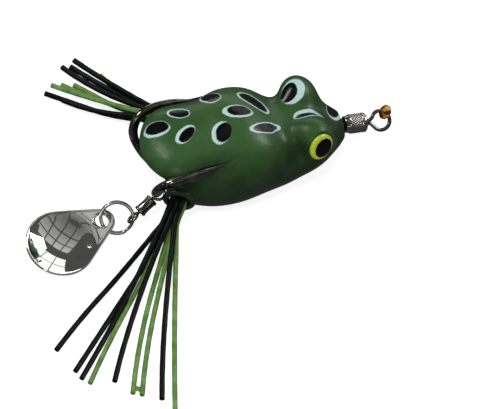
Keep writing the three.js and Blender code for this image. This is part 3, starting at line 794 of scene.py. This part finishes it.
barrel = revolve(profile, 156, nose_middle, nose_along, relief=knurl)
barrel = mesh_piece("knurled_nose_barrel", *barrel, GUNMETAL)
ready(barrel, "nose_barrel", "swivel_gunmetal", "nose_swivel_barrel")


def wire_eye(start, along, up, out, ring_radius, wire, head, head_in):
    """A wire bent into a tear-shaped eye, its tail against its neck, with a pin's head inside.

    The eye's middle is `out` from the barrel's end at start, and the head is `head_in` behind it.
    """
    r, near = ring_radius, out - ring_radius
    entry = [
        (-head_in, 0, 0), (0, 0, 0), (0.3 * near, 0, 0.05 * r), (0.72 * near, -0.04, 0.16 * r),
        (near + 0.12 * r, -0.05, 0.42 * r),
    ]
    turns = np.radians([128, 100, 72, 45, 20, 0, -20, -45, -72, -100, -128])
    loop = [(out + r * math.cos(t), 0.0, r * math.sin(t)) for t in turns]
    tail = [
        (near + 0.1 * r, 0.05, -0.46 * r), (0.72 * near, 0.10, -0.52 * wire - 0.1 * r),
        (0.42 * near, 0.12, -1.15 * wire),
    ]
    line = resample(catmull(entry + loop + tail, 14), 110)
    tube = sweep(
        line @ frame_axes(along, up) + start,
        lambda i: oval(wire, wire, 14) * (1 if i < len(line) - 2 else 0.72),
    )
    pin = [
        (-head_in - 0.6, 0.05), (-head_in - 0.6, head * 0.8), (-head_in - 0.45, head),
        (-head_in, head * 0.9), (-head_in + 0.05, wire),
    ]
    return joined(tube, revolve(pin, 28, start, along, up))


tie_start = nose_middle + nose_along * half
tie = wire_eye(tie_start, nose_along, TIE["up"], TIE["out"], TIE["radius"], TIE["wire"], 1.15, 0.85)
line_tie = mesh_piece("line_tie_loop", *tie, BLACK_NICKEL)
ready(line_tie, "line_tie", "swivel_gunmetal", "line_tie_eye")

# ---- faceted amber bead on the line tie
tie_axes = frame_axes(nose_along, TIE["up"])
tie_centre = tie_start + nose_along * TIE["out"]
bead_turn = math.radians(TIE["bead_at"])
bead_out = math.cos(bead_turn) * tie_axes[0] + math.sin(bead_turn) * tie_axes[2]
bead_along = -math.sin(bead_turn) * tie_axes[0] + math.cos(bead_turn) * tie_axes[2]
bead_at = tie_centre + TIE["radius"] * bead_out


def amber():
    p = Paint("amber_glass")
    cloud = p.spread(p.noise(620, 1), 0.42, 0.58)
    p.bump(p.noise(700, 2), 0.15, 0.5)
    # Dark amber mottled at random with bright patches; the bright patches are painted glints.
    colour = p.mix(cloud, (0.045, 0.011, 0.0), (0.62, 0.29, 0.003))
    return p.set(base=colour, rough=0.04, ior=1.6, through=0.15, coat=1.0, coat_rough=0.03)


def bead_facets():
    """A six-sided cut bead: two rows of facets each side of a girdle turned by half a side."""
    rows = [(-1.2, 0.8, 0), (-0.75, 1.55, 0), (0, 1.85, 0.5), (0.75, 1.55, 0), (1.2, 0.8, 0)]
    verts, faces, n = [], [], 6
    for x, radius, shift in rows:
        for j in range(n):
            turn = (j + shift) * 2 * math.pi / n
            verts.append((x, radius * math.cos(turn), radius * math.sin(turn)))
    for i in range(len(rows)):
        for j in range(n):
            k, m = (j + 1) % n, (i + 1) % len(rows)
            a, b, c, d = i * n + j, i * n + k, m * n + k, m * n + j
            if rows[i][2] == rows[m][2]:
                faces.append((a, b, c, d))
            elif rows[m][2]:
                faces += [(a, b, d), (b, c, d)]
            else:
                faces += [(a, b, c), (a, c, d)]
    axes = frame_axes(bead_along, np.cross(TIE["up"], nose_along))
    return np.array(verts) @ axes + bead_at, faces


bead = mesh_piece("cut_bead", *bead_facets(), amber(), smooth=False)
ready(bead, "bead", "bead_amber", "tie_bead")

# ---- tail swivel
ring_entry = RING_CENTRE + RING_RIGHT * RING["radius"]
tail_along = unit(ring_entry - HOOK_THREAD)
tail_middle = (ring_entry + HOOK_THREAD) / 2
tail_out = np.linalg.norm(ring_entry - HOOK_THREAD) / 2 - TAIL_BARREL["length"] / 2
half, r = TAIL_BARREL["length"] / 2, TAIL_BARREL["radius"]
end = [
    (-half, 0.52), (-half, r - 0.3), (-half + 0.1, r - 0.05), (-half + 0.3, r),
    (-half + 0.62, r), (-half + 0.75, r - 0.13),
]
waist = [
    (x, r - 0.13 - 0.05 * math.sin(math.pi * (x + 1.2) / 2.4)) for x in np.linspace(-1.2, 1.2, 9)
]
profile = end + waist + [(-x, y) for x, y in end[::-1]] + [(half - 0.5, 0.5)]
sleeve = mesh_piece("tail_swivel_sleeve", *revolve(profile, 64, tail_middle, tail_along), STEEL)
ready(sleeve, "tail_barrel", "swivel_steel", "tail_swivel_barrel")
for name, sign, through in (("front", -1, HOOK_TANGENT), ("rear", 1, RING_UP)):
    along = tail_along * sign
    eye = wire_eye(
        tail_middle + tail_along * (sign * half), along, np.cross(through, along), tail_out,
        TAIL_EYE["radius"], TAIL_EYE["wire"], 0.82, 0.6,
    )
    piece = mesh_piece(f"tail_swivel_{name}_loop", *eye, STEEL)
    ready(piece, f"tail_{name}", "swivel_steel", f"tail_swivel_{name}_eye")

# ---- split ring
ring_normal = unit(np.cross(RING_RIGHT, RING_UP))
ring_axes = np.array((unit(RING_RIGHT), np.cross(ring_normal, unit(RING_RIGHT)), ring_normal))
steps = 260
turns = np.linspace(0, RING["turns"], steps)
rise = np.clip((turns - 0.86) / 0.12, 0, 1)  # the wire steps over to its second turn
rise = RING["pitch"] * (rise * rise * (3 - 2 * rise) - 0.5)
angle = 2 * math.pi * turns
coil = np.stack([RING["radius"] * np.cos(angle), RING["radius"] * np.sin(angle), rise], axis=1)


def ring_section(i):
    """Flat wire, a little smaller at its two cut ends."""
    size = 0.7 if i in (0, steps - 1) else 1
    return oval(RING["radial"] / 2, RING["axial"] / 2, 16, 2.8) * size


split = sweep(coil @ ring_axes + RING_CENTRE, ring_section, np.tile(ring_normal, (steps, 1)))
ready(mesh_piece("split_ring_coil", *split, NICKEL), "ring", "ring_nickel", "split_ring")

# ---- spinner blade
yaw, pitch = math.radians(BLADE_YAW), math.radians(BLADE_PITCH)
blade_axes = frame_axes(-np.array((math.cos(yaw), math.sin(yaw), math.sin(pitch))), BLADE_UP)
bowl, lug = BLADE["width"] / 2, BLADE["lug"]
bowl_back = BLADE["length"] - bowl - lug  # hole to the bowl's centre


def blade_edge(x, y):
    """Signed distance to the egg outline: the bowl's and the lug's circles and their tangents."""
    lean = (lug - bowl) / bowl_back
    flat = math.sqrt(1 - lean * lean)
    side, back = np.abs(y), -x
    along = -lean * side + flat * back
    round_lug = np.hypot(side, back) - lug
    round_bowl = np.hypot(side, back - bowl_back) - bowl
    straight = flat * side + lean * back - lug
    return np.where(along < 0, round_lug, np.where(along > flat * bowl_back, round_bowl, straight))


def spoon():
    """The cupped blade: rings of points from its hole to its edge, above and below."""
    around, rings = 160, 34
    turn = np.arange(around) * 2 * math.pi / around
    near, far = np.zeros(around), np.full(around, 40.0)
    for _ in range(40):  # halves the span in which each direction meets the outline
        middle = (near + far) / 2
        inside = blade_edge(middle * np.cos(turn), middle * np.sin(turn)) < 0
        near, far = np.where(inside, middle, near), np.where(inside, far, middle)
    share = np.linspace(0, 1, rings) ** 0.8
    hole = BLADE["hole"]
    radius = hole + (near[None] - hole) * share[:, None]
    x, y = radius * np.cos(turn), radius * np.sin(turn)
    bowl_run = np.hypot(x + bowl_back, y) / bowl
    inset = -blade_edge(x, y)
    top = -BLADE["depth"] * 0.14 * np.logaddexp(0, (1 - bowl_run**2) / 0.14)
    # The rim and the hole have a raised lip and eased edges.
    lip = 0.16 * np.exp(-((inset / 0.4) ** 2)) + 0.08 * np.exp(-(((radius - hole) / 0.35) ** 2))
    edge_round = 0.12 * np.exp(-(inset / 0.08)) + 0.08 * np.exp(-((radius - hole) / 0.08))
    upper = np.stack([x, y, top + lip - edge_round], axis=-1).reshape(-1, 3)
    lower = np.stack([x, y, top - BLADE["thick"] + edge_round], axis=-1).reshape(-1, 3)
    faces, under = [], rings * around
    for j in range(around):
        k = (j + 1) % around
        for i in range(rings - 1):
            a, b, c, d = i * around + j, (i + 1) * around + j, (i + 1) * around + k, i * around + k
            faces += [(a, b, c, d), (under + d, under + c, under + b, under + a)]
        last = (rings - 1) * around
        faces.append((last + j, under + last + j, under + last + k, last + k))
        faces.append((k, under + k, under + j, j))
    return np.vstack([upper, lower]) @ blade_axes + BLADE_HOLE, faces


def chrome():
    p = Paint("mirror_chrome")
    smear = p.spread(p.noise(260, 3), 0.35, 0.7)
    p.bump(p.noise(60, 1), 0.06, 0.15)
    base = p.mix(smear, (0.74, 0.745, 0.73), (0.84, 0.84, 0.82))
    return p.set(base=base, rough=p.spread(smear, 0, 1, 0.03, 0.07), metal=1.0)


ready(mesh_piece("spinner_spoon", *spoon(), chrome()), "blade", "blade_chrome", "spinner_blade")


# ---- eyes
def pupil_shift(side):
    """The pupils look a little forward and down."""
    out = eye_frame(side)[1]
    return 0.26 * unit(np.cross(np.cross(out, (0.75, 0, -0.6)), out))


def iris_paint(side):
    p = Paint(f"eye_yellow_{SIDE_NAME[side]}")
    at, out = eye_frame(side)
    cloud = p.spread(p.noise(700, 3), 0.3, 0.7)
    p.bump(cloud, 0.03, 0.3)
    yellow = p.mix(cloud, (0.37, 0.46, 0.012), (0.52, 0.62, 0.028))
    # The pale crescent beside the pupil is a painted highlight.
    middle = at + pupil_shift(side) * 1.5 + out * 0.3
    highlight_edge = p.inside(middle, frame_axes(out, (0, 0, 1)), [PUPIL_RADIUS] * 3)
    colour = p.mix(p.spread(highlight_edge, 0.97, 1.03, 1, 0), yellow, (0.7, 0.78, 0.7))
    return p.set(base=colour, rough=0.22, coat=0.8, coat_rough=0.08)


def pupil_paint():
    p = Paint("eye_pupil_black")
    cloud = p.noise(600, 2)
    p.bump(cloud, 0.02, 0.2)
    base = p.mix(cloud, (0.001, 0.0012, 0.001), (0.003, 0.004, 0.003))
    return p.set(base=base, rough=0.12, specular=0.18)


def crown(start, high, wide, first, last):
    """A dome's profile, from its rim towards its top; first and last are angles from the axis."""
    angles = np.radians(np.linspace(first, last, 14))
    return [(start + high * math.cos(a), wide * math.sin(a)) for a in angles]


wide, thick = EYE["radius"], EYE["thick"]
iris_profile = [
    (-thick, 0.02), (-thick, wide - 0.15), (-thick + 0.1, wide - 0.03), (-0.16, wide),
    (-0.04, wide - 0.1), *crown(0, IRIS_CROWN, wide * 0.96, 82, 4), (IRIS_CROWN, 0.02),
]
wide = PUPIL_RADIUS
pupil_profile = [
    (0, 0.02), (0, wide - 0.1), (0.12, wide), (PUPIL_STEP, wide - 0.02),
    *crown(PUPIL_STEP, PUPIL_CROWN, wide - 0.05, 84, 2),
]
PUPIL = pupil_paint()
for side in (1, -1):
    at, out = eye_frame(side)
    word = SIDE_NAME[side]
    iris = mesh_piece(f"eye_ring_{word}", *revolve(iris_profile, 72, at, out), iris_paint(side))
    ready(iris, "root", "eye_yellow", f"eye_iris_{word}")
    dome = revolve(pupil_profile, 64, at + pupil_shift(side), out)
    ready(mesh_piece(f"eye_dome_{word}", *dome, PUPIL), "root", "eye_black", f"eye_pupil_{word}")


# ---- CAD pieces that keep their own shape
def give(node, material):
    """Puts a finished material on a CAD node's own mesh."""
    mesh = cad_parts[node].data
    mesh.materials.clear()
    mesh.materials.append(material)


def plug_paint():
    p = Paint("plug_rubber")
    cloud = p.noise(900, 3)
    p.bump(cloud, 0.05, 0.5)
    return p.set(base=p.mix(cloud, (0.012, 0.022, 0.012), (0.03, 0.05, 0.026)), rough=0.6)


LEAD = metal("cast_lead", (0.16, 0.165, 0.17), (0.28, 0.285, 0.30), 0.5, 900, 0.08)
PLUG = plug_paint()
give("belly_weight", LEAD)
give("nose_swivel_rear_eye", GUNMETAL)
give("skirt_plug_left", PLUG)
give("skirt_plug_right", PLUG)

# ---- studio: a white table and soft light, and a dim room that only shiny surfaces see
LURE = (0, -10, 5)  # what the lamps face
TABLE_HALF = 3000
ROOM_RADIUS, ROOM_SIDES, ROOM_ROWS = 3500, 32, 12
world = bpy.data.worlds.new("studio")
bpy.context.scene.world = world
world.use_nodes = True
world.node_tree.nodes["Background"].inputs[0].default_value = (1, 1, 1, 1)
world.node_tree.nodes["Background"].inputs[1].default_value = 0.5
bpy.context.scene.view_settings.view_transform = "Standard"


def stage_piece(name, verts, faces, material, only_reflected=True):
    """Part of the studio; most of them are seen only in glossy surfaces."""
    piece = mesh_piece(name, verts, faces, material, smooth=False)
    piece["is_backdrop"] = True
    if only_reflected:
        piece.visible_camera = piece.visible_diffuse = piece.visible_shadow = False
        piece.visible_transmission = piece.visible_volume_scatter = False
    return piece


def glow(name, strength, base=0.0):
    p = Paint(name)
    p.shader.inputs["Emission Color"].default_value = (1, 1, 1, 1)
    return p.set(base=(base,) * 3, rough=0.9, specular=0.1, glow=strength)


def fading_glow(name, low, high, dim, bright):
    """Emission that grows from dim at x + y = low to bright at x + y = high, in mm."""
    p = Paint(name)
    p.shader.inputs["Emission Color"].default_value = (1, 1, 1, 1)
    place = p.node("ShaderNodeSeparateXYZ", {0: p.place}).outputs
    ramp = p.spread(p.math("ADD", place["X"], place["Y"]), low * MM, high * MM, dim, bright)
    return p.set(base=(0, 0, 0), rough=1.0, specular=0.0, glow=ramp)


def panel(name, at, width, height, material, columns=1, rows=1, gap=0.0, roll=0.0):
    """Bright panes that face the lure, in a grid."""
    at = np.array(at, float)
    facing = unit(np.array(LURE) - at)
    right = unit(np.cross(facing, (0, 0, 1) if abs(facing[2]) < 0.95 else (0, 1, 0)))
    up = np.cross(right, facing)
    c, s = math.cos(math.radians(roll)), math.sin(math.radians(roll))
    right, up = right * c + up * s, up * c - right * s

    def pane_ends(i, count, size):
        return (-0.5 + i / count) * size + gap / 2, (-0.5 + (i + 1) / count) * size - gap / 2

    verts, faces = [], []
    for i in range(columns):
        for j in range(rows):
            x0, x1 = pane_ends(i, columns, width)
            y0, y1 = pane_ends(j, rows, height)
            faces.append(tuple(range(len(verts), len(verts) + 4)))
            corners = ((x0, y0), (x1, y0), (x1, y1), (x0, y1))
            verts += [at + right * x + up * y for x, y in corners]
    stage_piece(name, verts, faces, material)


floor = TABLE_HALF * np.array([(-1, -1, 0), (1, -1, 0), (1, 1, 0), (-1, 1, 0)])
table = stage_piece("table_top", floor, [(0, 1, 2, 3)], glow("pale_table", 0.84, 0.45), False)
table.visible_diffuse = table.visible_glossy = False
stage_piece("table_in_reflections", floor - (0, 0, 0.5), [(0, 1, 2, 3)], glow("table_shine", 0.1))

room, room_faces = [], []
around = np.arange(ROOM_SIDES) * 2 * math.pi / ROOM_SIDES
for k in range(ROOM_ROWS + 1):
    tilt = math.radians(-6 + 8 * k)
    wide, high = ROOM_RADIUS * math.cos(tilt), ROOM_RADIUS * math.sin(tilt)
    room += [(wide * math.cos(t), wide * math.sin(t), high) for t in around]
for k in range(ROOM_ROWS):
    low_row, high_row = k * ROOM_SIDES, (k + 1) * ROOM_SIDES
    for j in range(ROOM_SIDES):
        n = (j + 1) % ROOM_SIDES
        room_faces.append((low_row + j, low_row + n, high_row + n, high_row + j))
stage_piece("dim_room", room, room_faces, glow("dim_room", 0.08))

window_light = fading_glow("window_light", -1100, 700, 0.04, 0.55)
panel("window_overhead", (120, -330, 1000), 1500, 1500, window_light, 4, 4, gap=50, roll=20)
softbox = fading_glow("softbox", 1000, 3000, 0.9, 1.5)
panel("softbox_right", (1300, 1100, 850), 1700, 1300, softbox, 3, 2, gap=40, roll=12)
panel("lamp_right", (800, 50, 600), 360, 300, glow("lamp_right", 10.0))
panel("lamp_left", (-520, 400, 780), 290, 240, glow("lamp_left", 12.0))
panel("lamp_front", (-540, -610, 590), 130, 130, glow("lamp_front", 16.0))
panel("strip_back", (250, 1300, 420), 900, 260, glow("strip_back", 2.4))
panel("strip_front", (-700, -1400, 600), 1500, 140, glow("strip", 2.0))
panel("strip_left", (-1500, 500, 700), 900, 160, glow("strip_left", 1.5))


def area_light(name, at, size, power):
    """A round lamp that faces the lure and makes no highlight."""
    data = bpy.data.lights.new(name, "AREA")
    data.shape, data.size, data.energy = "DISK", size * MM, power
    lamp = bpy.data.objects.new(name, data)
    bpy.context.scene.collection.objects.link(lamp)
    lamp.location = Vector(at) * MM
    lamp.rotation_mode = "QUATERNION"
    lamp.rotation_quaternion = (Vector(LURE) - Vector(at)).to_track_quat("-Z", "Y")
    lamp.visible_glossy = False


area_light("key_soft", (-120, -200, 800), 260, 3.6)

low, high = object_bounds()
